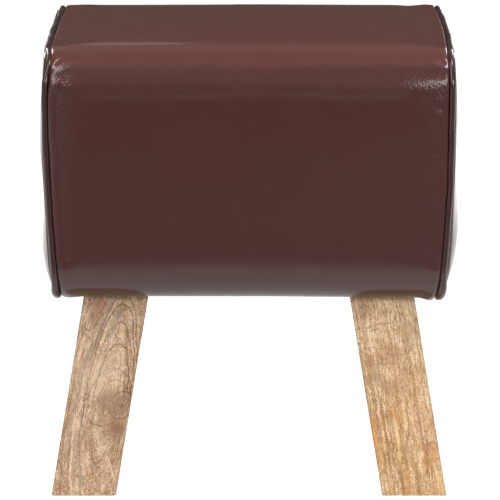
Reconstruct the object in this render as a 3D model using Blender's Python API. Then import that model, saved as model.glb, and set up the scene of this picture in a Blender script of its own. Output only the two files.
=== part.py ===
# Upholstered stool bench: a padded leather block with piped end seams on four splayed wooden legs.
# Metres, +Z up. The front faces -Y, and the origin is on the floor under the middle of the block.
import math
from collections import namedtuple

import bmesh
import bpy
from mathutils import Vector

MM = 0.001

# Padded block, measured over the leather
SEAT_HEIGHT = 450 * MM
LEG_HEIGHT = 199 * MM
BLOCK_DEPTH = 300 * MM
SEAM_LENGTH = 381.4 * MM  # from end seam to end seam over the upper part
SEAM_LEAN = 7.6 * MM  # how far each end seam draws in at the underside
LEAN_HEIGHT = 132 * MM  # height over the underside at which it starts to draw in
TOP_RADIUS = 36 * MM
BOTTOM_RADIUS = 41 * MM
TOP_CROWN = 3 * MM
SIDE_CROWN = 2.5 * MM
END_CROWN = 5.8 * MM

# Leather cover
LEATHER = 1.6 * MM
EDGE_ROLL_WIDTH = 7 * MM
EDGE_ROLL_DEPTH = 2 * MM
HEM = 20 * MM
HEM_TURN = 4 * MM
PIPING_DIAMETER = 6 * MM
PIPING_LEATHER = 1 * MM
PIPING_PROUD = 0.5 * MM
PIPING_MOUTH = math.radians(70)
PANEL_TUCK = 0.8  # how deep the end panel tucks in behind the piping, in piping radii
DUST_COVER = 0.6 * MM
DUST_COVER_MARGIN = 8 * MM

# Padding and the wooden carcass inside it
END_PAD = 26 * MM
END_PAD_RELIEF = 8 * MM
BASE_BOARD = 18 * MM
SEAT_BOARD = 12 * MM
SIDE_BOARD = 12 * MM
END_BOARD = 15 * MM

# Legs, measured on their level cuts
LEG_WIDTH = 63.7 * MM
LEG_THICKNESS = 40 * MM
LEG_SPLAY_SIDE = math.radians(9.54)
LEG_SPLAY_FRONT = math.radians(8.53)
LEG_SETBACK_SIDE = 2.9 * MM
LEG_SETBACK_FRONT = 1 * MM
LEG_EDGE = 1.5 * MM

# Countersunk wood screws
LEG_SCREW_LENGTH = 60 * MM
LEG_SCREW_RADIUS = 2.5 * MM
LEG_SCREW_SPACING = 26 * MM
LEG_SCREW_MARGIN = 4 * MM  # from an end board to the nearest head
BOARD_SCREW_LENGTH = 40 * MM
BOARD_SCREW_RADIUS = 1.75 * MM
SEAT_SCREW_SPACING = 110 * MM
BASE_SCREW_SPACING = 120 * MM
SIDE_SCREW_MARGIN = 40 * MM
SCREW_HEAD_RATIO = 2.0
SCREW_POINT_RATIO = 0.3
SCREW_SIDES = 8

# Clearances
FIT = 0.3 * MM  # between pieces that touch
PAD_EASE = 0.5 * MM  # between the cover and its padding
END_PAD_EASE = 1.2 * MM  # between an end panel and its pad, along the block
NOTCH_EASE = 0.8 * MM  # between a leg and the cloth or leather cut round it
HOLE_LEAD = 1 * MM  # how far a hole's cutter stands out of the face it enters

# Shape of the crowns and of the leaning seams
CROWN_POWER = 6
LEAN_POWER = 1.3

# Mesh steps
ARC_STEPS = 6
FLAT_STEPS = 6
HALF_TOP_STEPS = 4
ROLL_STATIONS = (0, 0.12, 0.45, 1)
SPAN_STATIONS = (0.78, 0.42)
HEM_STATIONS = (1, 0.7, 0.35)
PAD_STATIONS = (-1, -0.66, -0.33, 0, 0.33, 0.66, 1)
CROWN_RINGS = (1, 0.9, 0.75, 0.5, 0.25)
PIPING_SIDES = 7
SHARP_ANGLE = math.radians(35)

# Places that follow from the sizes above
EDGE_HEIGHT = SEAT_HEIGHT - TOP_CROWN
EDGE_HALF_DEPTH = BLOCK_DEPTH / 2 - SIDE_CROWN
FLAT_HALF_DEPTH = EDGE_HALF_DEPTH - BOTTOM_RADIUS
PAD_INSET = LEATHER + PAD_EASE
CARCASS_HALF_LENGTH = SEAM_LENGTH / 2 - END_PAD
CARCASS_HALF_DEPTH = FLAT_HALF_DEPTH - FIT
LEG_TOP = LEG_HEIGHT + LEATHER
BASE_BOTTOM = LEG_TOP + FIT
BASE_TOP = BASE_BOTTOM + BASE_BOARD
PAD_SPLIT = EDGE_HEIGHT - TOP_RADIUS
SEAT_BOARD_TOP = PAD_SPLIT - FIT
SEAT_BOARD_BOTTOM = SEAT_BOARD_TOP - SEAT_BOARD
WALL_BOTTOM = BASE_TOP + FIT
WALL_TOP = SEAT_BOARD_BOTTOM - FIT
PIPING_RADIUS = PIPING_DIAMETER / 2
PIPING_SINK = PIPING_RADIUS - PIPING_PROUD
PANEL_INSET = PIPING_SINK + PANEL_TUCK * PIPING_RADIUS
PANEL_EDGE = FIT + PIPING_RADIUS * (1 + math.sqrt(1 - PANEL_TUCK ** 2)) + FIT + LEATHER
HEM_SHARE = (FLAT_HALF_DEPTH - HEM - NOTCH_EASE) / FLAT_HALF_DEPTH

PathPoint = namedtuple("PathPoint", "y z ny nz crown")
Screw = namedtuple("Screw", "name head direction length radius")


def clear_scene():
    for obj in list(bpy.data.objects):
        bpy.data.objects.remove(obj, do_unlink=True)


def principled(name, colour, roughness, metallic=0.0):
    mat = bpy.data.materials.new(name)
    mat.use_nodes = True
    shader = mat.node_tree.nodes["Principled BSDF"]
    shader.inputs["Base Color"].default_value = (*colour, 1)
    shader.inputs["Roughness"].default_value = roughness
    shader.inputs["Metallic"].default_value = metallic
    return mat


def mesh_from(name, points, faces):
    mesh = bpy.data.meshes.new(name)
    mesh.from_pydata([tuple(p) for p in points], [], faces)
    mesh.shade_smooth()
    mesh.set_sharp_from_angle(angle=SHARP_ANGLE)
    return mesh


def add_object(name, mesh, mat=None):
    obj = bpy.data.objects.new(name, mesh)
    bpy.context.scene.collection.objects.link(obj)
    if mat:
        mesh.materials.append(mat)
    return obj


def add_cutter(name, mesh):
    cutter = add_object(name, mesh)
    cutter.hide_render = True
    cutter.display_type = "WIRE"
    return cutter


def subtract(obj, cutter):
    cut = obj.modifiers.new("cut", "BOOLEAN")
    cut.operation = "DIFFERENCE"
    cut.solver = "EXACT"
    cut.object = cutter


def loft_faces(loops, sides, first=0):
    # Quads between neighbouring closed loops, with a flat cap at each end
    faces = []
    for row in range(loops - 1):
        for side in range(sides):
            a = first + row * sides + side
            b = first + row * sides + (side + 1) % sides
            faces.append((a, b, b + sides, a + sides))
    faces.append(tuple(reversed(range(first, first + sides))))
    faces.append(tuple(range(first + (loops - 1) * sides, first + loops * sides)))
    return faces


def facing_out(mesh):
    shape = bmesh.new()
    shape.from_mesh(mesh)
    bmesh.ops.recalc_face_normals(shape, faces=shape.faces)
    shape.to_mesh(mesh)
    shape.free()
    return mesh


def loft(name, solids):
    # One closed solid for each list of loops
    points = []
    faces = []
    for loops in solids:
        faces += loft_faces(len(loops), len(loops[0]), len(points))
        for loop in loops:
            points += loop
    return facing_out(mesh_from(name, points, faces))


def box(name, low, high, mat):
    floor = [Vector((x, y, 0)) for x, y in
             ((low[0], low[1]), (high[0], low[1]), (high[0], high[1]), (low[0], high[1]))]
    loops = [[p + Vector((0, 0, z)) for p in floor] for z in (low[2], high[2])]
    return add_object(name, loft(name, [loops]), mat)


# Outline of the padded block


def half_length(z):
    # Half the length between the end seams at height z
    drop = LEG_HEIGHT + LEAN_HEIGHT - z
    share = min(max(drop / LEAN_HEIGHT, 0), 1)
    return SEAM_LENGTH / 2 - SEAM_LEAN * share ** LEAN_POWER


def front_half_path():
    # From the front hem, round the lower edge, up the front and over to the middle of the top
    points = [PathPoint(HEM - FLAT_HALF_DEPTH, LEG_HEIGHT, 0, -1, 0)]
    for step in range(ARC_STEPS + 1):
        turn = math.pi / 2 * step / ARC_STEPS
        ny, nz = -math.sin(turn), -math.cos(turn)
        points.append(PathPoint(BOTTOM_RADIUS * ny - FLAT_HALF_DEPTH,
                                LEG_HEIGHT + BOTTOM_RADIUS * (1 + nz), ny, nz, 0))
    low, high = LEG_HEIGHT + BOTTOM_RADIUS, EDGE_HEIGHT - TOP_RADIUS
    for step in range(1, FLAT_STEPS):
        share = step / FLAT_STEPS
        crown = SIDE_CROWN * (1 - (2 * share - 1) ** 2)
        points.append(PathPoint(-EDGE_HALF_DEPTH, low + share * (high - low), -1, 0, crown))
    flat = EDGE_HALF_DEPTH - TOP_RADIUS
    for step in range(ARC_STEPS + 1):
        turn = math.pi / 2 * step / ARC_STEPS
        ny, nz = -math.cos(turn), math.sin(turn)
        points.append(PathPoint(TOP_RADIUS * ny - flat, EDGE_HEIGHT - TOP_RADIUS * (1 - nz), ny, nz, 0))
    for step in range(1, HALF_TOP_STEPS + 1):
        share = 1 - step / HALF_TOP_STEPS
        points.append(PathPoint(-flat * share, EDGE_HEIGHT, 0, 1, TOP_CROWN * (1 - share ** 2)))
    return points


def mirrored(front):
    return front + [p._replace(y=-p.y, ny=-p.ny) for p in reversed(front[:-1])]


def skin_point(p, x, depth):
    # A point under the cover at a depth below its surface, with the cover's crown and rolled ends
    half = half_length(p.z)
    to_seam = min((half - abs(x)) / EDGE_ROLL_WIDTH, 1)
    roll = EDGE_ROLL_DEPTH * (1 - math.sqrt(max(1 - (1 - to_seam) ** 2, 0)))
    out = p.crown * (1 - (x / half) ** CROWN_POWER) - roll - depth
    return Vector((x, p.y + p.ny * out, p.z + p.nz * out))


def panel_half_depth(z, inset):
    # Half the depth of the block's end at height z, drawn in by an inset
    low, high = LEG_HEIGHT + BOTTOM_RADIUS, EDGE_HEIGHT - TOP_RADIUS
    radius, flat, off = BOTTOM_RADIUS, FLAT_HALF_DEPTH, low - z
    if z > high:
        radius, flat, off = TOP_RADIUS, EDGE_HALF_DEPTH - TOP_RADIUS, z - high
    if low <= z <= high:
        return EDGE_HALF_DEPTH - inset
    return flat + math.sqrt(max((radius - inset) ** 2 - off ** 2, 0))


def panel_x(y, z):
    # How far out the crowned end panel stands at a place on it
    low, high = LEG_HEIGHT + PANEL_INSET, EDGE_HEIGHT - PANEL_INSET
    across = min(abs(y) / panel_half_depth(z, PANEL_INSET), 1)
    up = min(abs(2 * z - low - high) / (high - low), 1)
    edge = half_length(z) + PANEL_EDGE
    peak = SEAM_LENGTH / 2 + PANEL_EDGE + END_CROWN
    return edge + (peak - edge) * (1 - across ** CROWN_POWER) * (1 - up ** CROWN_POWER)


# Leather cover


def sheet(name, rows, flip, skip, thickness, mat):
    # A leather sheet from a grid of points on its outer face, thickened inwards
    columns = len(rows[0])
    faces = []
    for row in range(len(rows) - 1):
        for column in range(columns - 1):
            a = row * columns + column
            quad = (a, a + 1, a + 1 + columns, a + columns)
            if not skip(row, column):
                faces.append(quad[::-1] if flip else quad)
    mesh = mesh_from(name, [p for row in rows for p in row], faces)
    shape = bmesh.new()
    shape.from_mesh(mesh)
    bmesh.ops.delete(shape, geom=[v for v in shape.verts if not v.link_faces], context="VERTS")
    shape.to_mesh(mesh)
    shape.free()
    obj = add_object(name, mesh, mat)
    solid = obj.modifiers.new("leather", "SOLIDIFY")
    solid.thickness = thickness
    solid.offset = -1
    solid.use_even_offset = True
    return obj


def cover_wrap(mat):
    # Front, top and back in one hide, with both ends rolled into the end seams
    rows = []
    for p in mirrored(front_half_path()):
        half = half_length(p.z)
        steps = [half - EDGE_ROLL_WIDTH * share for share in ROLL_STATIONS]
        steps += [half * share for share in SPAN_STATIONS]
        stations = [-x for x in steps] + [0] + steps[::-1]
        rows.append([skin_point(p, x, 0) for x in stations])
    return sheet("cover_wrap", rows, False, lambda row, column: False, LEATHER, mat)


def end_panel(name, side, mat):
    # A crowned panel behind the piping, with a hem turned under between the two piping ends
    half_columns = [1, (1 + HEM_SHARE) / 2] + [HEM_SHARE * share for share in HEM_STATIONS]
    columns = [-u for u in half_columns] + [0] + half_columns[::-1]
    face = [p for p in front_half_path()[1:] if p.crown == 0 or p.nz == 0]
    heights = [p.z - p.nz * PANEL_INSET for p in face]
    rows = []
    for z in heights:
        half = panel_half_depth(z, PANEL_INSET)
        rows.append([Vector((side * panel_x(u * half, z), u * half, z)) for u in columns])
    edge = rows[0][0].x
    turn = (1 - math.sqrt(0.5)) * HEM_TURN
    hem = [(edge - side * turn, LEG_HEIGHT + turn),
           (edge - side * HEM_TURN, LEG_HEIGHT),
           (side * (CARCASS_HALF_LENGTH - HEM), LEG_HEIGHT)]
    under = [[Vector((x, p.y, z)) for p in rows[0]] for x, z in reversed(hem)]
    ends = (0, 1, len(columns) - 3, len(columns) - 2)
    return sheet(name, under + rows, side < 0,
                 lambda row, column: row < len(under) and column in ends, LEATHER, mat)


def piping_section(p, side, radius, turns):
    # Points of the piping's section at a point of the seam, turned from the outward direction
    x = side * (half_length(p.z) + FIT + PIPING_RADIUS)
    centre = Vector((x, p.y - p.ny * PIPING_SINK, p.z - p.nz * PIPING_SINK))
    out = Vector((0, p.ny, p.nz))
    return [centre + radius * (math.cos(t) * out + math.sin(t) * Vector((1, 0, 0))) for t in turns]


def piping(name, side, mat):
    # A leather sleeve round its filler cord, open along the seam inside
    reach = math.pi - PIPING_MOUTH / 2
    turns = [reach * (2 * step / PIPING_SIDES - 1) for step in range(PIPING_SIDES + 1)]
    loops = [piping_section(p, side, PIPING_RADIUS, turns)
             + piping_section(p, side, PIPING_RADIUS - PIPING_LEATHER, turns[::-1])
             for p in mirrored(front_half_path())]
    return add_object(name, loft(name, [loops]), mat)


def piping_cord(name, side, mat):
    turns = [2 * math.pi * step / PIPING_SIDES for step in range(PIPING_SIDES)]
    radius = PIPING_RADIUS - PIPING_LEATHER - FIT
    loops = [piping_section(p, side, radius, turns) for p in mirrored(front_half_path())]
    return add_object(name, loft(name, [loops]), mat)


def dust_cover(mat):
    half_x = half_length(LEG_HEIGHT) - DUST_COVER_MARGIN
    half_y = FLAT_HALF_DEPTH - DUST_COVER_MARGIN
    top = LEG_HEIGHT - FIT
    return box("dust_cover", (-half_x, -half_y, top - DUST_COVER), (half_x, half_y, top), mat)


# Padding


def long_pad(name, outline, closing, mat):
    # A pad along the carcass: its outer face follows the cover, and closing gives its inner corners
    loops = []
    for share in PAD_STATIONS:
        x = share * CARCASS_HALF_LENGTH
        outer = [skin_point(p, x, PAD_INSET) for p in outline]
        loops.append(outer + [Vector((x, y, z)) for y, z in closing])
    return add_object(name, loft(name, [loops]), mat)


def seat_pad(mat):
    outline = [p for p in mirrored(front_half_path()) if p.nz > 0]
    reach = EDGE_HALF_DEPTH - PAD_INSET
    return long_pad("seat_pad", outline, ((reach, PAD_SPLIT), (-reach, PAD_SPLIT)), mat)


def side_pad(name, side, mat):
    outline = [p for p in front_half_path()[1:] if p.nz <= 0 and p.z < PAD_SPLIT]
    outline = [p._replace(y=side * -p.y, ny=side * -p.ny) for p in outline]
    top = PAD_SPLIT - FIT
    closing = ((side * (EDGE_HALF_DEPTH - PAD_INSET), top), (side * FLAT_HALF_DEPTH, top),
               (side * FLAT_HALF_DEPTH, LEG_HEIGHT + PAD_INSET))
    return long_pad(name, outline, closing, mat)


def end_pad(name, side, mat):
    # A pad on the carcass end: full under the cover, drawn in beside the piping, then crowned
    outline = mirrored(front_half_path())[1:-1]
    relief = PIPING_SINK + PIPING_RADIUS + 2 * FIT
    middle = (LEG_HEIGHT + EDGE_HEIGHT) / 2

    def ring(inset, x_at):
        places = [(p.y - p.ny * inset, p.z - p.nz * inset, p.z) for p in outline]
        return [Vector((side * x_at(z), y, zi)) for y, zi, z in places]

    def crown_ring(share):
        edge = ring(PANEL_INSET + relief, half_length)
        places = [(share * p.y, middle + share * (p.z - middle)) for p in edge]
        return [Vector((side * (panel_x(y, z) - LEATHER - END_PAD_EASE), y, z)) for y, z in places]

    loops = [ring(PAD_INSET, lambda z: CARCASS_HALF_LENGTH + FIT),
             ring(PAD_INSET, lambda z: half_length(z) - END_PAD_RELIEF),
             ring(relief, lambda z: half_length(z) - FIT)]
    loops += [crown_ring(share) for share in CROWN_RINGS]
    return add_object(name, loft(name, [loops]), mat)


# Carcass, legs and screws


def carcass(mat):
    length, depth = CARCASS_HALF_LENGTH, CARCASS_HALF_DEPTH
    inner = depth - SIDE_BOARD
    boards = [
        box("base_board", (-length, -depth, BASE_BOTTOM), (length, depth, BASE_TOP), mat),
        box("seat_board", (-length, -depth, SEAT_BOARD_BOTTOM), (length, depth, SEAT_BOARD_TOP), mat),
        box("front_board", (-length, -depth, WALL_BOTTOM), (length, -inner, WALL_TOP), mat),
        box("back_board", (-length, inner, WALL_BOTTOM), (length, depth, WALL_TOP), mat)]
    reach = inner - FIT
    for name, low, high in (("end_board_left", -length, END_BOARD - length),
                            ("end_board_right", length - END_BOARD, length)):
        boards.append(box(name, (low, -reach, WALL_BOTTOM), (high, reach, WALL_TOP), mat))
    return boards


def leg_loop(side_x, side_y, z, grow):
    # A level section of a leg with its four corners eased
    drop = LEG_TOP - z
    outer_x = CARCASS_HALF_LENGTH - LEG_SETBACK_SIDE + drop * math.tan(LEG_SPLAY_SIDE) + grow
    outer_y = CARCASS_HALF_DEPTH - LEG_SETBACK_FRONT + drop * math.tan(LEG_SPLAY_FRONT) + grow
    inner_x = outer_x - LEG_WIDTH - 2 * grow
    inner_y = outer_y - LEG_THICKNESS - 2 * grow
    e = LEG_EDGE
    corners = ((inner_x + e, inner_y), (outer_x - e, inner_y), (outer_x, inner_y + e), (outer_x, outer_y - e),
               (outer_x - e, outer_y), (inner_x + e, outer_y), (inner_x, outer_y - e), (inner_x, inner_y + e))
    return [Vector((side_x * x, side_y * y, z)) for x, y in corners]


def leg_sides():
    return [(f"{end}_{hand}", side_x, side_y) for end, side_y in (("front", -1), ("back", 1))
            for hand, side_x in (("left", -1), ("right", 1))]


def legs(mat):
    made = []
    for label, side_x, side_y in leg_sides():
        loops = [leg_loop(side_x, side_y, z, 0) for z in (0, LEG_TOP)]
        made.append(add_object(f"leg_{label}", loft(f"leg_{label}", [loops]), mat))
    return made


def leg_notch_cutter():
    solids = [[leg_loop(side_x, side_y, z, NOTCH_EASE) for z in (LEG_HEIGHT / 2, LEG_TOP + LEATHER)]
              for _, side_x, side_y in leg_sides()]
    return add_cutter("leg_notches", loft("leg_notches", solids))


def screw_loops(screw, grow, lead):
    # Countersunk head, shank and point, from the head's face along the screw's direction.
    # A lead carries the head's outline straight out, for a cutter that has to pass a board's face.
    axis = Vector(screw.direction)
    side = Vector((axis.z, axis.x, axis.y))
    other = axis.cross(side)
    shank = screw.radius + grow
    head = screw.radius * SCREW_HEAD_RATIO + grow
    sections = [(-grow, head), (head - shank, shank), (screw.length - shank, shank),
                (screw.length + grow, SCREW_POINT_RATIO * shank)]
    if lead:
        sections.insert(0, (-grow - lead, head))
    loops = []
    for along, radius in sections:
        centre = Vector(screw.head) + along * axis
        turns = [2 * math.pi * step / SCREW_SIDES for step in range(SCREW_SIDES)]
        loops.append([centre + radius * (math.cos(t) * side + math.sin(t) * other) for t in turns])
    return loops


def leg_screws():
    made = []
    length, radius = LEG_SCREW_LENGTH, LEG_SCREW_RADIUS
    outer = CARCASS_HALF_LENGTH - END_BOARD - LEG_SCREW_MARGIN - SCREW_HEAD_RATIO * radius
    y = CARCASS_HALF_DEPTH - LEG_SETBACK_FRONT - LEG_THICKNESS / 2
    for label, side_x, side_y in leg_sides():
        for number in (1, 2):
            head = (side_x * (outer - (number - 1) * LEG_SCREW_SPACING), side_y * y, BASE_TOP - FIT)
            made.append(Screw(f"leg_screw_{label}_{number}", head, (0, 0, -1), length, radius))
    return made


def board_screws():
    made = []
    length, radius = BOARD_SCREW_LENGTH, BOARD_SCREW_RADIUS
    wall = CARCASS_HALF_DEPTH - SIDE_BOARD / 2
    levels = (("low", WALL_BOTTOM + SIDE_SCREW_MARGIN), ("high", WALL_TOP - SIDE_SCREW_MARGIN))
    for end, side in (("front", -1), ("back", 1)):
        for number in (1, 2, 3):
            head = ((number - 2) * SEAT_SCREW_SPACING, side * wall, SEAT_BOARD_TOP - FIT)
            made.append(Screw(f"seat_screw_{end}_{number}", head, (0, 0, -1), length, radius))
        for number in (1, 2):
            head = ((number - 1.5) * BASE_SCREW_SPACING, side * wall, BASE_BOTTOM + FIT)
            made.append(Screw(f"base_screw_{end}_{number}", head, (0, 0, 1), length, radius))
        for hand, side_x in (("left", -1), ("right", 1)):
            x = side_x * (CARCASS_HALF_LENGTH - END_BOARD / 2)
            for level, z in levels:
                head = (x, side * (CARCASS_HALF_DEPTH - FIT), z)
                made.append(Screw(f"side_screw_{end}_{hand}_{level}", head, (0, -side, 0), length, radius))
    return made


def build():
    clear_scene()
    leather = principled("leather", (0.062, 0.022, 0.019), 0.32)
    wood = principled("leg_wood", (0.55, 0.37, 0.22), 0.55)
    plywood = principled("plywood", (0.60, 0.45, 0.29), 0.65)
    foam = principled("foam", (0.78, 0.72, 0.55), 0.95)
    cotton = principled("cotton_cord", (0.75, 0.71, 0.62), 0.9)
    cloth = principled("dust_cloth", (0.015, 0.015, 0.016), 0.9)
    steel = principled("zinc_steel", (0.62, 0.60, 0.55), 0.3, 1.0)

    notches = leg_notch_cutter()
    for obj in (cover_wrap(leather), dust_cover(cloth)):
        subtract(obj, notches)
    for hand, side in (("left", -1), ("right", 1)):
        subtract(end_panel(f"end_panel_{hand}", side, leather), notches)
        piping(f"piping_{hand}", side, leather)
        piping_cord(f"piping_cord_{hand}", side, cotton)
        end_pad(f"end_pad_{hand}", side, foam)
    seat_pad(foam)
    side_pad("front_pad", -1, foam)
    side_pad("back_pad", 1, foam)

    screws = leg_screws() + board_screws()
    for screw in screws:
        add_object(screw.name, loft(screw.name, [screw_loops(screw, 0, 0)]), steel)
    clear = [screw_loops(screw, FIT, HOLE_LEAD) for screw in screws]
    holes = add_cutter("screw_holes", loft("screw_holes", clear))
    for obj in carcass(plywood) + legs(wood):
        subtract(obj, holes)


build()
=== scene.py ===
import math

import bmesh
import bpy
import numpy as np
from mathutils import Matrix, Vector


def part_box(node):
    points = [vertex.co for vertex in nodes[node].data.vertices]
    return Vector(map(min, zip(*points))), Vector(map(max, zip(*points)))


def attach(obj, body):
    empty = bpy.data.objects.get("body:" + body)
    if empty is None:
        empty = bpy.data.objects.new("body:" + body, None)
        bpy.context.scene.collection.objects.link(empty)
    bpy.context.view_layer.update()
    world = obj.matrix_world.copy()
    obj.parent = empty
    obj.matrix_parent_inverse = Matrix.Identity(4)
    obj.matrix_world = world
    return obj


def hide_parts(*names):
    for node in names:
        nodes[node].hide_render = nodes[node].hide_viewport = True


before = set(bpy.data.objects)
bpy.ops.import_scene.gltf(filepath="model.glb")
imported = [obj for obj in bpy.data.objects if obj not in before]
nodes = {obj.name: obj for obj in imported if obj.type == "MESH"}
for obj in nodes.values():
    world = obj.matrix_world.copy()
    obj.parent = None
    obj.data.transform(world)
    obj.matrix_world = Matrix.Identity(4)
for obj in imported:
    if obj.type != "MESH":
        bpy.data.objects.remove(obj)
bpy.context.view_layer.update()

scene = bpy.context.scene
ends = (("left", -1), ("right", 1))
quarter, circle = math.pi / 2, 2 * math.pi
print("frame loaded:", len(nodes), "CAD nodes")


# mesh helpers

def addObject(name, data):
    obj = bpy.data.objects.new(name, data)
    scene.collection.objects.link(obj)
    return obj


def makeObject(name, points, faces, edges=()):
    mesh = bpy.data.meshes.new(name)
    mesh.from_pydata(np.asarray(points, float).reshape(-1, 3).tolist(), edges, faces)
    mesh.shade_smooth()
    return addObject(name, mesh)


def gridFaces(rows, columns, keep=None, flip=False):
    k = np.arange(rows * columns).reshape(rows, columns)
    quads = np.stack([k[:-1, :-1], k[:-1, 1:], k[1:, 1:], k[1:, :-1]], axis=2)
    quads = quads.reshape(-1, 4) if keep is None else quads[keep]
    return quads[:, ::-1 if flip else 1].tolist()


def setAttribute(obj, name, kind, values):
    layer = obj.data.attributes.new(name, kind, "POINT")
    field = "vector" if kind == "FLOAT_VECTOR" else "value"
    layer.data.foreach_set(field, np.asarray(values, np.float32).ravel())


def setPlace(obj, *parts):
    # where a point lies on its piece of leather or cord, for the materials
    setAttribute(obj, "hide", "FLOAT_VECTOR", np.stack(np.broadcast_arrays(*parts), axis=2))


def editMesh(obj, change):
    shape = bmesh.new()
    shape.from_mesh(obj.data)
    change(shape)
    shape.to_mesh(obj.data)
    shape.free()


def dropLoose(obj):
    editMesh(obj, lambda shape: bmesh.ops.delete(
        shape, geom=[v for v in shape.verts if not v.link_faces], context="VERTS"))


def thicken(obj, thickness, offset=-1, even=True):
    wall = obj.modifiers.new("wall", "SOLIDIFY")
    wall.thickness = thickness
    wall.offset = offset
    wall.use_even_offset = even
    settle(obj)


def settle(obj):
    # keeps what the modifiers made as a plain mesh
    depsgraph = bpy.context.evaluated_depsgraph_get()
    mesh = bpy.data.meshes.new_from_object(obj.evaluated_get(depsgraph))
    obj.modifiers.clear()
    obj.data = mesh
    mesh.name = obj.name


def smoothStep(low, high, value):
    share = np.clip((value - low) / (high - low), 0, 1)
    return share * share * (3 - 2 * share)


def bell(value, at, reach, power=2):
    return np.exp(-((value - at) / reach) ** power)


def ripple(along, across, seed, shortest, longest, lean=0.25, count=20):
    # smooth seeded waves of about unit height that mostly follow one direction
    rng = np.random.default_rng(seed)
    total = np.zeros(np.broadcast(along, across).shape)
    for _ in range(count):
        length = rng.uniform(shortest, longest)
        turn = rng.normal(0, lean)
        phase = rng.uniform(0, circle)
        forward = along * math.cos(turn) + across * math.sin(turn)
        total += np.sin(circle * forward / length + phase)
    return total / math.sqrt(count / 2)


swellFrames = 20
swellCloth = dict(quality=5, mass=0.3, tension_stiffness=60, compression_stiffness=60, shear_stiffness=30,
                  bending_stiffness=4, vertex_group_mass="held", use_pressure=True)


def swell(grid, held, pressure, cap):
    # a short cloth run: the padding presses on a sheet that is held at its seams
    obj = makeObject("swelling", grid, gridFaces(*grid.shape[:2]))
    group = obj.vertex_groups.new(name="held")
    group.add(np.flatnonzero(held.ravel()).tolist(), 1.0, "REPLACE")
    cloth = obj.modifiers.new("cloth", "CLOTH")
    for key, value in swellCloth.items():
        setattr(cloth.settings, key, value)
    cloth.settings.uniform_pressure_force = pressure
    cloth.settings.effector_weights.gravity = 0
    cloth.collision_settings.use_collision = False
    cloth.point_cache.frame_start, cloth.point_cache.frame_end = 1, swellFrames
    for step in range(1, swellFrames + 1):
        scene.frame_set(step)
    depsgraph = bpy.context.evaluated_depsgraph_get()
    after = np.zeros(grid.size)
    obj.evaluated_get(depsgraph).data.vertices.foreach_get("co", after)
    moved = after.reshape(grid.shape) - grid
    bpy.data.objects.remove(obj, do_unlink=True)
    scene.frame_set(1)
    far = np.linalg.norm(moved, axis=2, keepdims=True)
    print("  swelled by up to", round(float(far.max()) * 1000, 2), "mm before the cap")
    return moved * cap / (cap + far)


def resample(field, rowShares, columnShares):
    # a coarse grid's values read at finer shares of its two directions
    rows, columns = field.shape
    r = np.clip(rowShares, 0, 1) * (rows - 1)
    c = np.clip(columnShares, 0, 1) * (columns - 1)
    r0, c0 = np.minimum(r.astype(int), rows - 2), np.minimum(c.astype(int), columns - 2)
    fr, fc = r - r0, c - c0
    low = field[r0, c0] * (1 - fc) + field[r0, c0 + 1] * fc
    high = field[r0 + 1, c0] * (1 - fc) + field[r0 + 1, c0 + 1] * fc
    return low * (1 - fr) + high * fr


# material helpers

noiseSpan = (0.3, 0.7)  # where most values of a noise texture lie


class Wire:
    # a node's output that can be reckoned with like a number
    def __init__(self, socket):
        self.socket, self.tree = socket, socket.id_data

    def math(self, operation, *others):
        return addNode(self.tree, "ShaderNodeMath", (self, *others), operation=operation)

    def __add__(self, other):
        return self.math("ADD", other)

    def __sub__(self, other):
        return self.math("SUBTRACT", other)

    def __mul__(self, other):
        return self.math("MULTIPLY", other)

    def __truediv__(self, other):
        return self.math("DIVIDE", other)

    def __abs__(self):
        return self.math("ABSOLUTE")


def feed(value, socket):
    if isinstance(value, Wire):
        value.tree.links.new(value.socket, socket)
    else:
        socket.default_value = value


def plug(node, given):
    for key, value in given.items():
        feed(value, node.inputs[key])


def addNode(tree, kind, given=(), output=0, **settings):
    node = tree.nodes.new(kind)
    for key, value in settings.items():
        setattr(node, key, value)
    plug(node, given if isinstance(given, dict) else dict(enumerate(given)))
    return Wire(node.outputs[output])


def newMaterial(name, roughness=0.5, specular=0.5, metallic=0.0):
    mat = bpy.data.materials.new(name)
    mat.use_nodes = True
    shader = mat.node_tree.nodes["Principled BSDF"]
    plug(shader, {"Roughness": roughness, "Specular IOR Level": specular, "Metallic": metallic})
    return mat, mat.node_tree, shader


def span(value, low, high, toLow=0.0, toHigh=1.0):
    # a smooth clamped range
    return addNode(value.tree, "ShaderNodeMapRange", (value, low, high, toLow, toHigh),
                   interpolation_type="SMOOTHSTEP")


def joinVector(x, y, z=0.0):
    return addNode(x.tree, "ShaderNodeCombineXYZ", (x, y, z))


def splitVector(vector):
    x = addNode(vector.tree, "ShaderNodeSeparateXYZ", (vector,))
    return [Wire(socket) for socket in x.socket.node.outputs]


def stretch(vector, scales):
    return addNode(vector.tree, "ShaderNodeVectorMath", (vector, scales), operation="MULTIPLY")


def noise(vector, scale, detail=2.0, roughness=0.5, distortion=0.0):
    return addNode(vector.tree, "ShaderNodeTexNoise", {
        "Vector": vector, "Scale": scale, "Detail": detail, "Roughness": roughness, "Distortion": distortion})


def cells(vector, scale, feature="F1"):
    return addNode(vector.tree, "ShaderNodeTexVoronoi", {"Vector": vector, "Scale": scale}, "Distance",
                   feature=feature)


def grey(level):
    return (level, level, level)


def tint(factor, low, high):
    low, high = (colour if isinstance(colour, Wire) else (*colour, 1) for colour in (low, high))
    return addNode(factor.tree, "ShaderNodeMix", {0: factor, 6: low, 7: high}, 2, data_type="RGBA")


def relief(height, distance, strength=1.0, under=None):
    given = {"Height": height, "Distance": distance, "Strength": strength}
    if under:
        given["Normal"] = under
    return addNode(height.tree, "ShaderNodeBump", given)


def attribute(tree, name, output="Vector"):
    return addNode(tree, "ShaderNodeAttribute", output=output, attribute_name=name)


def objectPoint(tree):
    return addNode(tree, "ShaderNodeTexCoord", output="Object")


# leather

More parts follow.
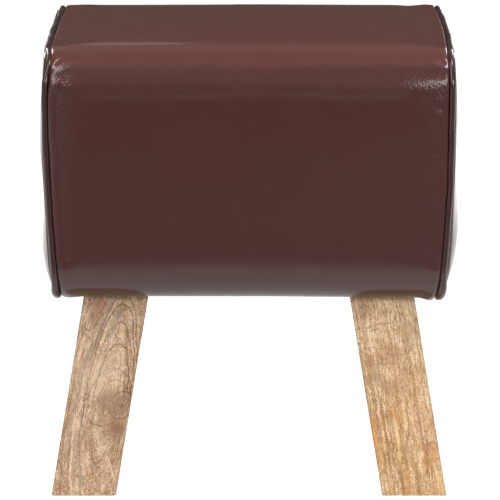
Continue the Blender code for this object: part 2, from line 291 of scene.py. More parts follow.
leather = dict(
    # the lighter, redder colour over the upper front edge and the whole top is partly stretched pull-up
    # leather and partly painted light: the top light and the sheen along the edge painted into the colour
    deep=(0.0445, 0.0097, 0.0077), warm=(0.0492, 0.0110, 0.0087), pulledAndLit=(0.074, 0.0160, 0.0109),
    roughness=(0.36, 0.44), specular=0.15, coat=0.70, coatRoughness=0.12,
    mottle=(9.0, 4, 0.6), dullness=(60, 3), pebbles=850, grit=(1900, 2), gritShare=0.5,
    pebble=0.00002, stipple=0.00030, crease=0.0006,  # depths of the reliefs
    creaseLean=0.8, acrossCreases=250, alongCreases=500,
)


def leatherFinish(name, shade=1.0, creased=False):
    mat, tree, shader = newMaterial(name, specular=leather["specular"])
    place = attribute(tree, "hide")
    across, run, gap = splitVector(place)
    # a shade below 1 darkens both colours; the piping uses it as painted shade
    deep, warm = ([shade * part for part in leather[key]] for key in ("deep", "warm"))
    colour = tint(span(noise(place, *leather["mottle"]), *noiseSpan), deep, warm)
    # painted light: the upper front edge and the top get a lighter, redder colour for the light and sheen
    # they catch, as well as for the stretched leather
    colour = tint(attribute(tree, "pulledAndLit", "Fac"), colour, leather["pulledAndLit"])
    dull = span(noise(place, *leather["dullness"]), *noiseSpan, *leather["roughness"])
    pebbles = cells(place, leather["pebbles"], "SMOOTH_F1")
    bumps = relief(pebbles + noise(place, *leather["grit"]) * leather["gritShare"], leather["pebble"])
    if creased:
        # drawn-in creases that lean out from the end seams
        leaning = run - gap * leather["creaseLean"]
        flow = joinVector(gap * leather["acrossCreases"], leaning * leather["alongCreases"], across)
        drawn = attribute(tree, "crease", "Fac")
        bumps = relief(pebbles * drawn, leather["stipple"], under=bumps)
        bumps = relief(noise(flow, 1) * drawn, leather["crease"], under=bumps)
    plug(shader, {"Base Color": colour, "Roughness": dull, "Normal": bumps, "Coat Normal": bumps,
                  "Coat Weight": leather["coat"], "Coat Roughness": leather["coatRoughness"]})
    return mat


# the padded block: its section runs from the front hem under the block, up the front,
# over the top and down the back

block = dict(
    underside=0.199, edgeHeight=0.4476, halfDepth=0.1475, seamHalf=0.1907,
    topRadius=0.036, bottomRadius=0.041, topCrown=0.0045, topPower=4, sideCrown=0.0025, endCrown=0.0058,
    seamLean=0.0076, leanHeight=0.132, leanPower=1.3, crownPower=6, hem=0.020, legTopFrom=0.19,
)
flatLow = block["halfDepth"] - block["bottomRadius"]
flatTop = block["halfDepth"] - block["topRadius"]
lowTangent = block["underside"] + block["bottomRadius"]
highTangent = block["edgeHeight"] - block["topRadius"]
runStops = np.cumsum([block["hem"], quarter * block["bottomRadius"], highTangent - lowTangent,
                      quarter * block["topRadius"], flatTop])
hideRun = 2 * runStops[4]


def fromHem(run):
    # the run from the nearer hem, which is alike at the front and the back
    return np.minimum(run, hideRun - run)


def section(run):
    # y, z, outward y and z, and the crown at a run along the hide
    r = fromHem(run)
    lowTurn = (r - runStops[0]) / block["bottomRadius"]
    topTurn = (r - runStops[2]) / block["topRadius"]
    parts = [r < runStops[0], r < runStops[1], r < runStops[2], r < runStops[3]]
    flat = np.zeros_like(r)
    ny = np.select(parts, [flat, -np.sin(lowTurn), flat - 1, -np.cos(topTurn)], flat)
    nz = np.select(parts, [flat - 1, -np.cos(lowTurn), flat, np.sin(topTurn)], flat + 1)
    y = np.select(parts, [block["hem"] - flatLow - r, block["bottomRadius"] * ny - flatLow,
                          flat - block["halfDepth"], block["topRadius"] * ny - flatTop],
                  r - runStops[3] - flatTop)
    z = np.select(parts, [flat + block["underside"], lowTangent + block["bottomRadius"] * nz,
                          lowTangent + r - runStops[1], highTangent + block["topRadius"] * nz],
                  flat + block["edgeHeight"])
    rise = (r - runStops[1]) / (runStops[2] - runStops[1])
    crown = np.select(parts, [flat, flat, block["sideCrown"] * 4 * rise * (1 - rise), flat],
                      block["topCrown"] * (1 - np.abs(y / flatTop) ** block["topPower"]))
    back = np.where(run > runStops[4], -1, 1)
    return y * back, z, ny * back, nz, crown


# the sewn seams wander a little: side, run, reach along it, shift outward
seamDrifts = (
    (-1, 0.225, 0.030, 0.0015), (-1, 0.290, 0.020, -0.0016), (-1, 0.525, 0.045, -0.0013),
    (1, 0.440, 0.085, 0.0022), (1, 0.298, 0.012, -0.0010), (1, 0.026, 0.024, -0.0020),
)


def seamAt(z, run, side):
    # half the length between the end seams at a height, with each seam's wander
    share = np.clip((block["underside"] + block["leanHeight"] - z) / block["leanHeight"], 0, 1)
    half = block["seamHalf"] - block["seamLean"] * share ** block["leanPower"]
    for hand, at, reach, shift in seamDrifts:
        half = half + np.where(side == hand, shift * bell(run, at, reach, 4), 0)
    return half


def legTop(node):
    # a leg's corners where it meets the block
    return [v.co for v in nodes[node].data.vertices if v.co.z > block["legTopFrom"]]


def legExtent(node):
    # from and to in x, then in y
    return [limit(p[axis] for p in legTop(node)) for axis in (0, 1) for limit in (min, max)]


# the hide over front, top and back

hide = dict(
    thickness=0.0016, shoulder={-1: (0.0060, 0.0012, 2.0), 1: (0.0034, 0.0009, 2.0)},
    lip=0.0022, lipRuns=(0, 0.290, 0.330), lips=(0.0011, 0.0011, 0.0022), tucks=(0.0068, 0.0058, 0.0050),
    lipShares=(0, 0.012, 0.05, 0.11, 0.20, 0.32, 0.48, 0.70, 1, 1.4, 1.9),
    rowPitch=0.0025, nearPitch=0.0013, nearReach=0.046, farColumns=26,
    simRows=120, simColumns=44, pressure=4.0, cap=0.0030, crownKept=0.55, hemHeld=0.004,
    hemStart=0.010, legClear=0.002, pulledAndLit=(0.0215, 0.0275), fill=0.9,
)
# waves that the sewing draws in beside the seams
pucker = dict(height=0.00022, reach=0.0055, slant=0.45, waves=(0.0075, 0.016), waveSeed=31,
              patches=(0.05, 0.12), patchSeed=41, patchSpan=(-0.4, 1.0))
# soft lumps and hollows seen beside the seams: side, run, gap from the seam, reach along both, height
hideLumps = (
    (-1, 0.2925, 0.0090, 0.0095, 0.0085, 0.0020), (-1, 0.2620, 0.0090, 0.0080, 0.0085, 0.0019),
    (-1, 0.2500, 0.0080, 0.0070, 0.0060, -0.0004), (-1, 0.3180, 0.0080, 0.0080, 0.0055, 0.0007),
    (-1, 0.4030, 0.0060, 0.0030, 0.0100, 0.0006), (1, 0.0340, 0.0045, 0.0180, 0.0075, 0.0028),
    (-1, 0.0340, 0.0060, 0.0180, 0.0100, 0.0014), (1, 0.4000, 0.0250, 0.0030, 0.0260, 0.0003),
    (1, 0.2640, 0.0280, 0.0080, 0.0140, 0.0005), (1, 0.2480, 0.0080, 0.0045, 0.0050, 0.0005),
    (1, 0.2390, 0.0100, 0.0040, 0.0055, -0.0004), (1, 0.2310, 0.0075, 0.0045, 0.0045, 0.0004),
    (1, 0.5200, 0.0260, 0.0300, 0.0110, -0.0017), (1, 0.5200, 0.0090, 0.0260, 0.0060, 0.0008),
)
lumpStart = 0.0010
# patches of fine creases, given the same way with their strength
hideCreases = (
    (-1, 0.2550, 0.0150, 0.0200, 0.0150, 0.55), (-1, 0.2200, 0.0120, 0.0360, 0.0130, 0.50),
    (-1, 0.1500, 0.0100, 0.0500, 0.0120, 0.45), (-1, 0.3000, 0.0160, 0.0160, 0.0120, 0.25),
    (-1, 0.3950, 0.0060, 0.0300, 0.0060, 0.4), (1, 0.2650, 0.0290, 0.0100, 0.0200, 0.8),
    (1, 0.2470, 0.0080, 0.0120, 0.0080, 0.6), (1, 0.1900, 0.0120, 0.0500, 0.0120, 0.35),
    (1, 0.2900, 0.0180, 0.0120, 0.0140, 0.10),
)
evenCreases = dict(strength=0.10, reach=0.016, start=(0.0005, 0.003))
# the cover's lower edge hangs a little, most at the right
hideSag = dict(run=0.034, reach=0.019, even=0.0005, right=0.0012, rightFrom=0.17, start=0.007)
# the filling stands fuller a little way in from the seams: reach, and height along the run
hidePuff = dict(reach={-1: 0.026, 1: 0.020}, height={-1: 0.0011, 1: 0.0010},
                runs=(0.020, 0.060, 0.100, 0.255, 0.300, 0.330, 0.423), shares=(0, 0.5, 1, 1, 0.5, 0, 0))


def hideColumns():
    # columns from the left seam to the right one: near gap or -1, far share, tuck depth, side
    near = [hide["lip"] * share for share in hide["lipShares"]]
    near += list(np.arange(near[-1] + hide["nearPitch"], hide["nearReach"], hide["nearPitch"]))
    half = [(0, 0, tuck) for tuck in hide["tucks"]] + [(gap, 0, 0) for gap in near]
    half += [(-1, step / hide["farColumns"], 0) for step in range(0, hide["farColumns"])]
    left = [(*column, -1) for column in half]
    right = [(*column, 1) for column in reversed(half)]
    return np.array(left + [(-1, 1, 0, 1)] + right)


def hideSurface(run, x, seam, tuck, crownShare):
    y, z, ny, nz, crown = section(run)
    gap = np.maximum(seam - np.abs(x), 0)
    width, depth, power = (np.where(x < 0, *pair) for pair in zip(hide["shoulder"][-1], hide["shoulder"][1]))
    lip = np.interp(fromHem(run), hide["lipRuns"], hide["lips"])
    roll = depth * (1 - np.minimum(gap / width, 1)) ** power
    roll = roll + lip * (1 - np.sqrt(np.maximum(1 - (1 - np.minimum(gap / lip, 1)) ** 2, 0)))
    out = crownShare * crown * (1 - np.abs(x / seam) ** block["crownPower"]) - roll - tuck
    return y, z, ny, nz, gap, out


def hideSwelling():
    # how far the padding pushes the hide out, on a coarse grid
    run = np.linspace(0, hideRun, hide["simRows"])[:, None]
    share = np.linspace(-1, 1, hide["simColumns"])[None, :]
    run, share = np.broadcast_arrays(run, share)
    seam = seamAt(section(run)[1], run, np.sign(share))
    x = share * seam
    y, z, ny, nz, _, out = hideSurface(run, x, seam, 0, hide["crownKept"])
    grid = np.stack([x, y + ny * out, z + nz * out], axis=2)
    held = fromHem(run) < runStops[0] + hide["hemHeld"]
    held[:, [0, -1]] = True
    moved = swell(grid, held, hide["pressure"], hide["cap"])
    return moved[..., 1] * ny + moved[..., 2] * nz


def spots(places, run, gap, side):
    return sum(np.where(side == hand, size * bell(run, atRun, runReach) * bell(gap, atGap, gapReach), 0)
               for hand, atRun, atGap, runReach, gapReach, size in places)


def creasePatches(run, gap, side):
    even = evenCreases["strength"] * np.exp(-gap / evenCreases["reach"])
    return (even + spots(hideCreases, run, gap, side)) * smoothStep(*evenCreases["start"], gap)


def hangAndPuff(run, x, gap):
    r = fromHem(run)
    depth = hideSag["even"] + hideSag["right"] * smoothStep(0, hideSag["rightFrom"], x)
    hang = depth * bell(r, hideSag["run"], hideSag["reach"])
    hang = hang * smoothStep(runStops[0], runStops[0] + hideSag["start"], r)
    reach, height = (np.where(x < 0, hidePuff[key][-1], hidePuff[key][1]) for key in ("reach", "height"))
    inward = np.minimum(gap / reach, 1)
    return hang + height * np.interp(r, hidePuff["runs"], hidePuff["shares"]) * (1 - (1 - inward) ** 2)


def seamPuckers(run, gap, side):
    total = spots(hideLumps, run, gap, side) * smoothStep(0, lumpStart, gap)
    inward = gap / pucker["reach"]
    for index, (_, hand) in enumerate(ends):
        waves = ripple(run - pucker["slant"] * gap, gap, pucker["waveSeed"] + index, *pucker["waves"])
        patches = ripple(run, gap, pucker["patchSeed"] + index, *pucker["patches"])
        drawn = waves * smoothStep(*pucker["patchSpan"], patches) * inward * np.exp(1 - inward)
        total += np.where(side == hand, pucker["height"] * drawn, 0)
    return total


def hemCut(run, x):
    # the hems are cut away where the legs pass through them
    low, high, _, _ = legExtent("leg_front_right")
    hem = fromHem(run)
    middleRun = (hem[:-1, :-1] + hem[1:, 1:]) / 2
    middleX = np.abs(x[:-1, :-1] + x[1:, 1:]) / 2
    beside = (middleX > low - hide["legClear"]) & (middleX < high + hide["legClear"])
    return ~((middleRun < runStops[0]) & beside)


def makeHide():
    columns = hideColumns()
    rows = np.linspace(0, hideRun, int(hideRun / hide["rowPitch"]))
    rows = np.unique(np.concatenate([rows, [runStops[0], hideRun - runStops[0]]]))
    run, nearGap = np.broadcast_arrays(rows[:, None], columns[None, :, 0])
    share, tuck, side = (np.broadcast_to(columns[None, :, k], run.shape) for k in (1, 2, 3))
    seam = seamAt(section(run)[1], run, side)
    x = side * np.where(nearGap >= 0, seam - nearGap, (seam - hide["nearReach"]) * (1 - share))
    y, z, ny, nz, gap, out = hideSurface(run, x, seam, tuck, hide["crownKept"])
    out = out + resample(hideSwelling(), run / hideRun, (x / seam + 1) / 2)
    r = fromHem(run)
    underHem = smoothStep(runStops[0], runStops[0] + hide["hemStart"], r)
    out = out + seamPuckers(run, gap, side) * underHem + hangAndPuff(run, x, gap)
    obj = makeObject("coverHide", np.stack([x, y + ny * out, z + nz * out], axis=2),
                     gridFaces(*run.shape, hemCut(run, x)))
    setPlace(obj, x, run, gap)
    # where that lighter, redder colour lies: from partway round the top edge over the whole top, part
    # stretched leather and part painted light
    setAttribute(obj, "pulledAndLit", "FLOAT", smoothStep(*(runStops[2] + hide["pulledAndLit"]), r))
    setAttribute(obj, "crease", "FLOAT", creasePatches(run, gap, side))
    dropLoose(obj)
    thicken(obj, hide["thickness"])
    obj.data.materials.append(leatherFinish("coverLeather", creased=True))
    return obj


coverHide = makeHide()
print("cover hide:", len(coverHide.data.polygons), "faces")


# crowned end panels with a hem turned under between the legs

panel = dict(
    thickness=0.0016, inset=0.0049, edge=0.0070, columns=64, rows=72, bunch=0.35,
    simSide=34, pressure=4.0, cap=0.0030, crownKept=0.6, tuck=0.003, tuckInset=0.0006,
    hemTurn=0.004, hemDepth=0.046, hemHalf=0.0600, legClear=0.002, fill=0.85,
    wander=0.00022, wanderPower=8, wanderWaves=(0.03, 0.09, 3.0), wanderSeed=71,
    upperPower=3.5, lowerPower=8, middle=0.323, aspect=1.18, patternShift=0.7,
)
# where the end panels stand fuller or flatter than an even crown: side, height, reach, bulge
panelSwells = (
    (-1, 0.240, 0.034, 0.0045), (-1, 0.356, 0.032, 0.0032), (-1, 0.418, 0.020, -0.0006),
    (1, 0.258, 0.042, 0.0062), (1, 0.380, 0.050, 0.0020), (1, 0.425, 0.015, -0.0003),
)
# the panels' upper front corners are drawn in by the sewing
panelDraw = dict(low=0.398, high=0.432, inner=0.80, depth={-1: 0.0018, 1: 0.0007})


def panelHalfDepth(z):
    def bulge(radius, rise):
        return np.sqrt(np.maximum((radius - panel["inset"]) ** 2 - rise ** 2, 0))

    below = flatLow + bulge(block["bottomRadius"], lowTangent - z)
    above = flatTop + bulge(block["topRadius"], z - highTangent)
    middle = block["halfDepth"] - panel["inset"]
    return np.where(z < lowTangent, below, np.where(z > highTangent, above, middle))


def panelGrid(u, height, side, crownShare):
    # u runs across the panel from -1 to 1, height up it from 0 to 1
    low, high = block["underside"] + panel["inset"], block["edgeHeight"] - panel["inset"]
    z = low + (high - low) * height
    drawn = smoothStep(panelDraw["low"], panelDraw["high"], z) * smoothStep(panelDraw["inner"], 1, -u)
    edge = seamAt(z, lowTangent, 0) + panel["edge"] - panelDraw["depth"][side] * drawn
    peak = block["seamHalf"] + panel["edge"] + block["endCrown"]
    upper = np.where(height > 0.5, panel["upperPower"], panel["lowerPower"])
    rise = (1 - np.abs(u) ** block["crownPower"]) * (1 - np.abs(2 * height - 1) ** upper)
    swells = sum(bulge * bell(z, at, reach) for hand, at, reach, bulge in panelSwells if hand == side)
    x = side * (edge + (crownShare * (peak - edge) + swells) * rise)
    return np.stack([x, u * panelHalfDepth(z), z], axis=2)


def panelSwelling(side):
    count = panel["simSide"]
    u, height = np.meshgrid(np.linspace(-1, 1, count), np.linspace(0, 1, count))
    held = np.zeros(u.shape, bool)
    held[[0, -1]] = held[:, [0, -1]] = True
    turned = slice(None, None, side)  # so that the pressure pushes outward at both ends
    rough = panelGrid(u, height, side, panel["crownKept"])
    return swell(rough[:, turned], held, panel["pressure"], panel["cap"])[:, turned, 0]


def panelHem(low, side):
    # deep between the legs and narrow outside them, up to the cover's own hems
    edge, y = np.abs(low[:, 0]), low[:, 1]
    outsideLegs = legExtent("leg_front_right")[1] + panel["legClear"]
    reach = np.where(np.abs(y) < panel["hemHalf"], block["seamHalf"] - panel["hemDepth"], outsideLegs)
    turn = (1 - math.sqrt(0.5)) * panel["hemTurn"]
    rows = ((reach, 0), (edge - panel["hemTurn"], 0), (edge - turn, turn))
    return [np.stack([side * x, y, 0 * y + block["underside"] + lift], axis=1) for x, lift in rows]


def makePanel(hand, side):
    # closer rows at the rounded corners, and one tucked ring behind the piping
    spread = np.linspace(-1, 1, panel["columns"])
    spread = np.sin(spread * quarter) * panel["bunch"] + spread * (1 - panel["bunch"])
    u, height = np.meshgrid(spread, (np.sin(np.linspace(-1, 1, panel["rows"]) * quarter) + 1) / 2)
    grid = panelGrid(u, height, side, panel["crownKept"])
    grid[..., 0] += resample(panelSwelling(side), height, (u + 1) / 2)
    inside = (1 - np.abs(u) ** panel["wanderPower"]) * (1 - np.abs(2 * height - 1) ** panel["wanderPower"])
    waves = ripple(grid[..., 1], grid[..., 2], panel["wanderSeed"] + side, *panel["wanderWaves"])
    grid[..., 0] += side * panel["wander"] * inside * waves
    ring = np.zeros(u.shape, bool)
    ring[-1] = ring[:, 0] = ring[:, -1] = True
    grid[ring, 0] -= side * panel["tuck"]
    grid[ring, 1] *= 1 - panel["tuckInset"] / block["halfDepth"]
    low = grid[0].copy()
    grid = np.concatenate([panelHem(low, side), grid])
    rows, columns = grid.shape[:2]
    keep = np.ones((rows - 1, columns - 1), bool)
    keep[:3] = np.abs(low[:-1, 1] + low[1:, 1]) / 2 < flatLow - block["hem"]
    obj = makeObject(f"endPanel{hand.capitalize()}", grid, gridFaces(rows, columns, keep, side < 0))
    y, z = grid[..., 1], grid[..., 2]
    gap = block["halfDepth"] - np.maximum(np.abs(y), np.abs(z - panel["middle"]) * panel["aspect"])
    setPlace(obj, y + panel["patternShift"] * side, z, gap)
    dropLoose(obj)
    thicken(obj, panel["thickness"])
    obj.data.materials.append(panelLeather)
    return obj


panelLeather = leatherFinish("panelLeather")
endPanels = {hand: makePanel(hand, side) for hand, side in ends}
print("end panels:", [len(obj.data.polygons) for obj in endPanels.values()], "faces")


# leather piping along the end seams, and the cotton cord inside it

welt = dict(
    radius=0.003, wall=0.001, snug=0.0001, sink=0.0025, mouth=math.radians(70), sides=20, pitch=0.0026,
    wander=0.00016, wanderWaves=(0.03, 0.08), wanderSeed=91, plump=0.035, plumpWaves=(0.02, 0.06),
    # shade: the piping's colour darkened to this share of the hide's, painted shade for the groove it lies in
    plumpSeed=95, shade=0.6, patternShift=2, patternDepth=0.2,
)
cord = dict(clear=0.0003, sides=15, strands=3, lobe=0.16, twist=0.014, fibreTurns=3, fibreRun=700,
            relief=0.0001, dark=(0.62, 0.57, 0.48), pale=(0.82, 0.79, 0.71))
# where the piping was drawn aside or gathered when it was sewn: run, reach, outward shift, lift, swelling
weltKinks = {
    "left": ((0.424, 0.120, 0.0001, -0.0027, 0), (0.415, 0.018, 0.0008, 0.0005, 0.10),
             (0.378, 0.007, -0.0005, 0, 0), (0.293, 0.017, -0.0016, 0, -0.08),
             (0.044, 0.022, 0.0013, 0.0012, 0.45)),
    "right": ((0.424, 0.120, 0.0005, -0.0034, 0), (0.293, 0.015, -0.0008, 0, 0),
              (0.040, 0.022, 0.0014, 0.0024, 0.70)),
}


def weltLine(hand, side):
    run = np.linspace(0, hideRun, int(hideRun / welt["pitch"]))
    y, z, ny, nz, _ = section(run)
    wander, waves = (ripple(run, 0 * run, welt[key + "Seed"] + side, *welt[key + "Waves"])
                     for key in ("wander", "plump"))
    x = seamAt(z, run, side) + welt["snug"] + welt["radius"] + welt["wander"] * wander
    lift, plump = 0 * run - welt["sink"], 1 + welt["plump"] * np.minimum(waves, 1)
    for at, reach, shift, rise, swelling in weltKinks[hand]:
        near = bell(run, at, reach)
        x, lift, plump = x + shift * near, lift + rise * near, plump + swelling * near
    middle = np.stack([side * x, y + ny * lift, z + nz * lift], axis=1)
    return run, middle, np.stack([0 * run, ny, nz], axis=1), plump


def weltRings(middle, out, radius, turns):
    across = np.array([1.0, 0, 0])
    return middle[:, None] + radius[..., None] * (
        np.cos(turns)[..., None] * out[:, None] + np.sin(turns)[..., None] * across)


def tubeObject(name, rings):
    rows, sides = rings.shape[:2]
    k = np.arange(rows * sides).reshape(rows, sides)
    after = np.roll(k, -1, axis=1)
    faces = np.stack([k[:-1], after[:-1], after[1:], k[1:]], axis=2).reshape(-1, 4).tolist()
    obj = makeObject(name, rings, faces + [k[0].tolist(), k[-1].tolist()])
    editMesh(obj, lambda shape: bmesh.ops.recalc_face_normals(shape, faces=shape.faces))
    return obj


def makeWelt(hand, side):
    run, middle, out, plump = weltLine(hand, side)
    reach = math.pi - welt["mouth"] / 2
    turns = np.tile(np.linspace(-reach, reach, welt["sides"] + 1), (len(run), 1))
    outer = weltRings(middle, out, (welt["radius"] * plump)[:, None], turns)
    inner = weltRings(middle, out, np.full((len(run), 1), welt["radius"] - welt["wall"]), turns[:, ::-1])
    obj = tubeObject(f"piping{hand.capitalize()}", np.concatenate([outer, inner], axis=1))
    around = np.concatenate([turns, turns[:, ::-1]], axis=1) * welt["radius"]
    setPlace(obj, around + welt["patternShift"] * side, run[:, None], 0 * around + welt["patternDepth"])
    obj.data.materials.append(weltLeather)
    return obj


def makeCord(hand, side):
    # three cotton strands laid together
    run, middle, out, _ = weltLine(hand, side)
    turns = np.tile(np.linspace(0, circle, cord["sides"], endpoint=False), (len(run), 1))
    lay = turns - circle * run[:, None] / cord["twist"]
    lobes = 1 - cord["lobe"] + cord["lobe"] * np.abs(np.cos(cord["strands"] * lay / 2))
    radius = (welt["radius"] - welt["wall"] - cord["clear"]) * lobes
    obj = tubeObject(f"pipingCord{hand.capitalize()}", weltRings(middle, out, radius, turns))
    setPlace(obj, lay, run[:, None], radius)
    obj.data.materials.append(cordCotton)
    return obj


def cottonFinish():
    mat, tree, shader = newMaterial("cordCotton", 0.9, 0.2)
    lay, run, _ = splitVector(attribute(tree, "hide"))
    fibres = noise(joinVector(lay * cord["fibreTurns"], run * cord["fibreRun"]), 1, 3)
    plug(shader, {"Base Color": tint(fibres, cord["dark"], cord["pale"]),
                  "Normal": relief(fibres, cord["relief"])})
    return mat


# the piping's leather is painted darker than the hide: painted shade standing in for the groove along the
# seam
weltLeather = leatherFinish("pipingLeather", welt["shade"])
cordCotton = cottonFinish()
welts = {hand: makeWelt(hand, side) for hand, side in ends}
cords = {hand: makeCord(hand, side) for hand, side in ends}
print("piping:", [len(obj.data.polygons) for obj in welts.values()], "faces")


# foam under the leather

foam = dict(bevel=0.0015, segments=2, bevelFrom=math.radians(40), sharpFrom=math.radians(50), merge=1e-6,
            flatWithin=math.radians(1), pale=(0.80, 0.74, 0.58), shade=(0.66, 0.58, 0.40),
            pores=420, poreShare=0.7, clouds=(30, 3), cloudShare=0.4, toneSpan=(0.2, 0.8), relief=0.0012,
            fill=1.0)
foamPads = {"seat_pad": "seatFoam", "front_pad": "frontFoam", "back_pad": "backFoam",
            "end_pad_left": "endFoamLeft", "end_pad_right": "endFoamRight"}


def foamFinish():
    mat, tree, shader = newMaterial("openFoam", 0.95, 0.1)
    point = objectPoint(tree)
    pores = cells(point, foam["pores"])
    mixed = pores * foam["poreShare"] + noise(point, *foam["clouds"]) * foam["cloudShare"]
    plug(shader, {"Base Color": tint(span(mixed, *foam["toneSpan"]), foam["shade"], foam["pale"]),
                  "Normal": relief(pores, foam["relief"])})
    return mat


def mergeFlat(shape):
    bmesh.ops.remove_doubles(shape, verts=shape.verts, dist=foam["merge"])
    bmesh.ops.dissolve_limit(shape, angle_limit=foam["flatWithin"], verts=shape.verts, edges=shape.edges)


def makeFoam(node, name):
    obj = addObject(name, nodes[node].data.copy())
    editMesh(obj, mergeFlat)
    for attributeName in ("custom_normal", "sharp_edge"):
        if attributeName in obj.data.attributes:
            obj.data.attributes.remove(obj.data.attributes[attributeName])
    bevel = obj.modifiers.new("softEdge", "BEVEL")
    bevel.width = foam["bevel"]
    bevel.segments = foam["segments"]
    bevel.limit_method = "ANGLE"
    bevel.angle_limit = foam["bevelFrom"]
    settle(obj)
    obj.data.shade_smooth()
    obj.data.set_sharp_from_angle(angle=foam["sharpFrom"])
    paint(obj.data, openFoam)
    return obj


def paint(data, mat):
    data.materials.clear()
    data.materials.append(mat)


openFoam = foamFinish()
foams = {node: makeFoam(node, name) for node, name in foamPads.items()}
print("foam pads:", len(foams))


# black cloth under the block, stapled round its edge and cut round the legs

dustCloth = dict(columns=73, rows=43, thickness=0.0005, sag=0.0014, sagPower=2.2, legClear=0.0012,
                 unevenness=0.25, waves=(0.05, 0.12, 3.0), seed=7, dark=(0.010, 0.010, 0.011),
                 pale=(0.030, 0.030, 0.032), weave=(1, 2.5, 1), fibres=(520, 4, 0.7, 1.5),
                 fibreSpan=(0.35, 0.7), relief=0.0003)
staple = dict(spacing=0.027, inset=0.005, crown=0.0105, wire=0.0011, flat=0.0006, bite=0.0016, legClear=0.008)
zinc = dict(roughness=(0.24, 0.42), dark=(0.52, 0.50, 0.45), pale=(0.72, 0.71, 0.68), clouds=(240, 4, 0.6),
            scratchStretch=(1, 1, 6), scratches=(900, 2), relief=0.00004)
legNodes = ("leg_front_left", "leg_front_right", "leg_back_left", "leg_back_right")


def makeDustCloth():
    low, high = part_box("dust_cover")
    clear = dustCloth["legClear"]
    notches = [np.add(legExtent(node), (-clear, clear, -clear, clear)) for node in legNodes]

    def lines(reach, count, first):
        cuts = [cut for notch in notches for cut in notch[first:first + 2] if abs(cut) <= reach]
        return np.unique(np.round([*np.linspace(-reach, reach, count), *cuts], 5))

    x, y = np.meshgrid(lines(high.x, dustCloth["columns"], 0), lines(high.y, dustCloth["rows"], 2))
    middleX, middleY = ((way[:-1, :-1] + way[1:, 1:]) / 2 for way in (x, y))
    keep = np.ones(middleX.shape, bool)
    for x0, x1, y0, y1 in notches:
        keep &= ~((middleX > x0) & (middleX < x1) & (middleY > y0) & (middleY < y1))
    # it hangs a little between the staples
    power = dustCloth["sagPower"]
    hang = (1 - np.abs(x / high.x) ** power) * (1 - np.abs(y / high.y) ** power)
    uneven = 1 + dustCloth["unevenness"] * ripple(x, y, dustCloth["seed"], *dustCloth["waves"])
    z = low.z + dustCloth["thickness"] - dustCloth["sag"] * hang * uneven
    obj = makeObject("dustCloth", np.stack([x, y, z], axis=2), gridFaces(*x.shape, keep, True))
    area = float(sum(face.area for face in obj.data.polygons))
    dropLoose(obj)
    thicken(obj, dustCloth["thickness"], 1, False)
    obj.data.materials.append(dustFinish())
    return obj, area, (high.x - low.x, high.y - low.y)


def dustFinish():
    mat, tree, shader = newMaterial("blackDustCloth", 0.9, 0.2)
    fibres = noise(stretch(objectPoint(tree), dustCloth["weave"]), *dustCloth["fibres"])
    colour = tint(span(fibres, *dustCloth["fibreSpan"]), dustCloth["dark"], dustCloth["pale"])
    plug(shader, {"Base Color": colour, "Normal": relief(fibres, dustCloth["relief"])})
    return mat


def zincFinish(name):
    mat, tree, shader = newMaterial(name, 0.3, 0.5, 1.0)
    point = objectPoint(tree)
    clouds = noise(point, *zinc["clouds"])
    scratches = noise(stretch(point, zinc["scratchStretch"]), *zinc["scratches"])
    plug(shader, {"Base Color": tint(clouds, zinc["dark"], zinc["pale"]),
                  "Roughness": span(clouds, *noiseSpan, *zinc["roughness"]),
                  "Normal": relief(scratches, zinc["relief"])})
    return mat


def stapleTree(steel):
    # staples at even spacing along the lines of a mesh, turned along them
    tree = bpy.data.node_groups.new("stapleRow", "GeometryNodeTree")
    newSocket = tree.interface.new_socket
    newSocket("Lines", in_out="INPUT", socket_type="NodeSocketGeometry")
    sizes = {label: newSocket(label, in_out="INPUT", socket_type="NodeSocketFloat").identifier
             for label in ("spacing", "crown", "wire", "flat", "bite")}
    newSocket("Staples", in_out="OUTPUT", socket_type="NodeSocketGeometry")
    given = {socket.name: Wire(socket) for socket in tree.nodes.new("NodeGroupInput").outputs}
    crown, flat, bite = given["crown"], given["flat"], given["bite"]

    def wirePart(length, depth, x, z):
        size = addNode(tree, "ShaderNodeCombineXYZ", (length, given["wire"], depth))
        place = addNode(tree, "ShaderNodeCombineXYZ", (x, 0.0, z))
        cube = addNode(tree, "GeometryNodeMeshCube", {"Size": size}, "Mesh")
        return addNode(tree, "GeometryNodeTransform", {"Geometry": cube, "Translation": place})

    legX, legZ = (crown - flat) * 0.5, bite * 0.5
    join = tree.nodes.new("GeometryNodeJoinGeometry")
    for part in (wirePart(crown, flat, 0.0, flat * -0.5), wirePart(flat, bite, legX, legZ),
                 wirePart(flat, bite, legX * -1.0, legZ)):
        feed(part, join.inputs[0])
    curve = addNode(tree, "GeometryNodeMeshToCurve", (given["Lines"],))
    points = addNode(tree, "GeometryNodeCurveToPoints", {"Curve": curve, "Length": given["spacing"]},
                     "Points", mode="LENGTH")
    tangent = Wire(points.socket.node.outputs["Tangent"])
    turn = addNode(tree, "FunctionNodeAlignRotationToVector", {"Vector": tangent}, axis="X", pivot_axis="Z")
    row = addNode(tree, "GeometryNodeInstanceOnPoints", {
        "Points": points, "Instance": Wire(join.outputs[0]), "Rotation": turn})
    real = addNode(tree, "GeometryNodeRealizeInstances", (row,))
    painted = addNode(tree, "GeometryNodeSetMaterial", {"Geometry": real, "Material": steel})
    feed(painted, tree.nodes.new("NodeGroupOutput").inputs[0])
    return tree, sizes


